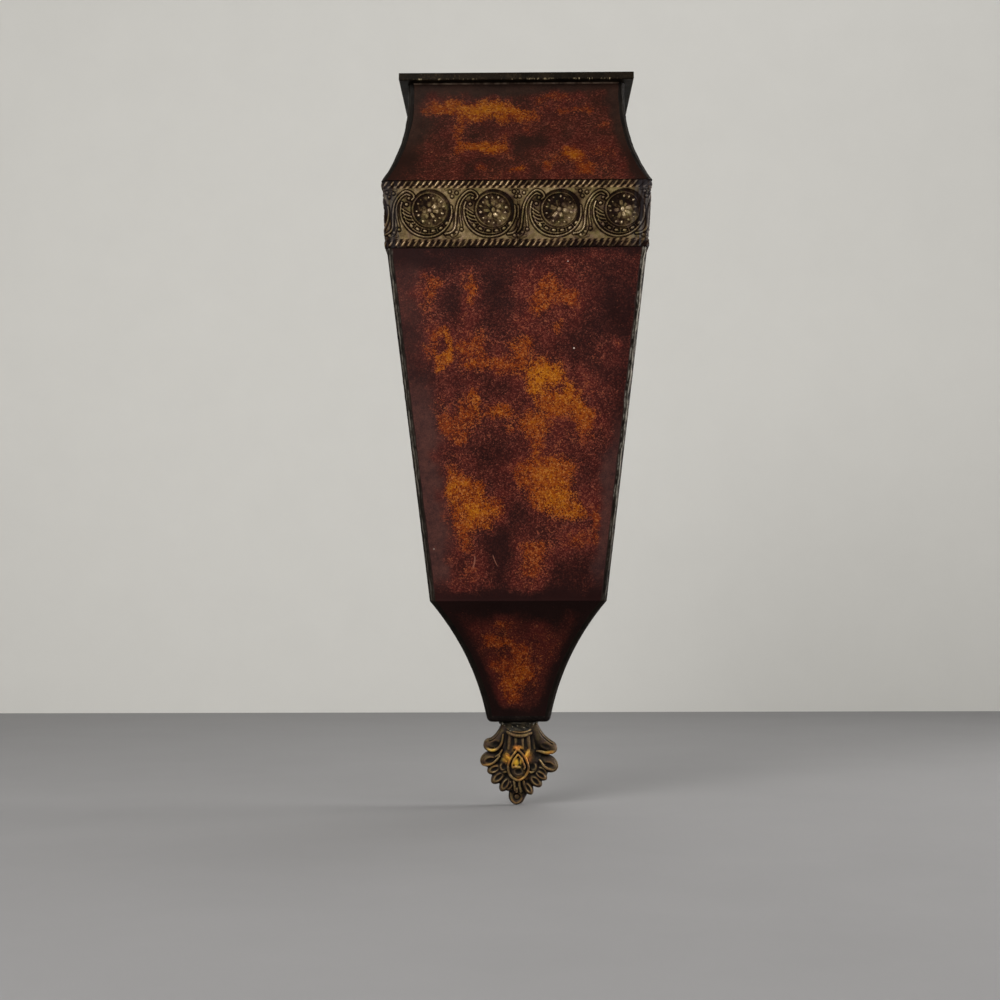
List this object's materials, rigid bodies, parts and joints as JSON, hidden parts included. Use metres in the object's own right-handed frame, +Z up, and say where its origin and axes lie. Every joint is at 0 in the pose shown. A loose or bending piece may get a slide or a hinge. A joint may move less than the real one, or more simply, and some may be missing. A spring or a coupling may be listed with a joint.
{
  "type": "hanging wall vase",
  "caption": "Tapered four-sided wall pocket vase in tortoise-lacquered sheet metal, with a flat rim, an embossed scroll trim band, an acanthus finial and a swinging D-ring hanger.",
  "frame": {"origin": "middle of the rim's flat back face, the face that rests on the wall", "axes": "+Z up along the vase's length, +Y into the wall, so the front faces -Y, +X to the right seen from the front"},
  "size_m": [0.1956, 0.0948, 0.5378],
  "materials": {
    "tortoise": "satin-gloss lacquer, mottled amber, red-brown and near-black",
    "dark_lacquer": "satin near-black brown lacquer",
    "champagne_brass": "stamped sheet with dark patina in the recesses",
    "antique_gold": "dark antique casting with rubbed gold ridges",
    "steel": "plain zinc-plated"
  },
  "bodies": {
    "vase": {"neck_front": "tortoise", "neck_left": "tortoise", "neck_right": "tortoise", "body_front": "tortoise", "body_left": "tortoise", "body_right": "tortoise", "tail_front": "tortoise", "tail_left": "tortoise", "tail_right": "tortoise", "rim_front": "dark_lacquer", "rim_left": "dark_lacquer", "rim_right": "dark_lacquer", "rim_back": "dark_lacquer", "neck_seam_left": "dark_lacquer", "neck_seam_right": "dark_lacquer", "body_seam_left": "dark_lacquer", "body_seam_right": "dark_lacquer", "tail_seam_left": "dark_lacquer", "tail_seam_right": "dark_lacquer", "back_panel": "dark_lacquer", "floor_pan": "dark_lacquer", "finial_collar": "dark_lacquer", "trim_left": "champagne_brass", "trim_right": "champagne_brass", "finial": "antique_gold", "hanger_strap": "steel", "rivet_upper": "steel", "rivet_lower": "steel", "finial_screw": "steel", "finial_washer": "steel"},
    "ring": {"hanger_ring": "steel"}
  },
  "joints": [
    {"name": "hanger_swing", "type": "hinge", "parent": "vase", "child": "ring", "pos_m": [0, -0.0046, -0.045], "axis": [1, 0, 0], "range_deg": [0, 180]}
  ]
}
